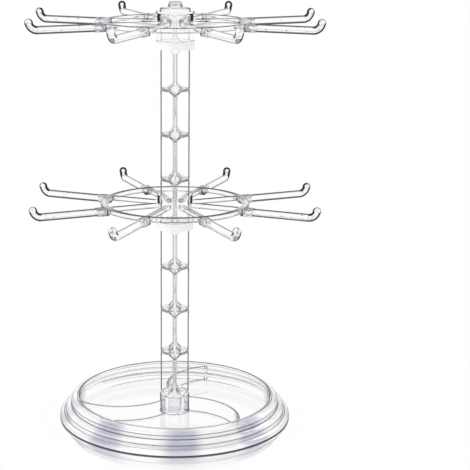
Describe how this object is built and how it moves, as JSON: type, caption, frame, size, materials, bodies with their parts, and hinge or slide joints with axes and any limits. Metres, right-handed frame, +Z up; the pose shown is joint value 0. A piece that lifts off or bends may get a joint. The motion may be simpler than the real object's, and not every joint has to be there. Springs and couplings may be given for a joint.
{
  "type": "rotating jewelry stand",
  "caption": "Clear plastic jewelry stand: turning tiers of upturned hooks on a finned column, over a round stepped dish with curved dividers.",
  "frame": {"origin": "centre of the dish's underside on the column's axis, where the stand meets the table", "axes": "+Z up along the column, +X to the right and +Y towards the back"},
  "size_m": [0.2196, 0.2196, 0.3305],
  "materials": {
    "clear_plastic": "clear moulded plastic, polished",
    "milky_plastic": "milky white moulded plastic, satin"
  },
  "bodies": {
    "stand": {"base_dish": "clear_plastic", "lower_post": "clear_plastic", "upper_post": "clear_plastic", "top_post": "clear_plastic", "lower_collar": "milky_plastic", "upper_collar": "milky_plastic", "top_cap": "clear_plastic"},
    "lower_tier": {"lower_tier_ring": "clear_plastic", "lower_hook_1": "clear_plastic", "lower_hook_2": "clear_plastic", "lower_hook_3": "clear_plastic", "lower_hook_4": "clear_plastic", "lower_hook_5": "clear_plastic", "lower_hook_6": "clear_plastic", "lower_hook_7": "clear_plastic", "lower_hook_8": "clear_plastic"},
    "upper_tier": {"upper_tier_ring": "clear_plastic", "upper_hook_1": "clear_plastic", "upper_hook_2": "clear_plastic", "upper_hook_3": "clear_plastic", "upper_hook_4": "clear_plastic", "upper_hook_5": "clear_plastic", "upper_hook_6": "clear_plastic", "upper_hook_7": "clear_plastic", "upper_hook_8": "clear_plastic"}
  },
  "joints": [
    {"name": "lower_tier_spin", "type": "hinge", "parent": "stand", "child": "lower_tier", "pos_m": [0, 0, 0.1604], "axis": [0, 0, 1], "continuous": true},
    {"name": "upper_tier_spin", "type": "hinge", "parent": "stand", "child": "upper_tier", "pos_m": [0, 0, 0.3008], "axis": [0, 0, 1], "continuous": true}
  ]
}
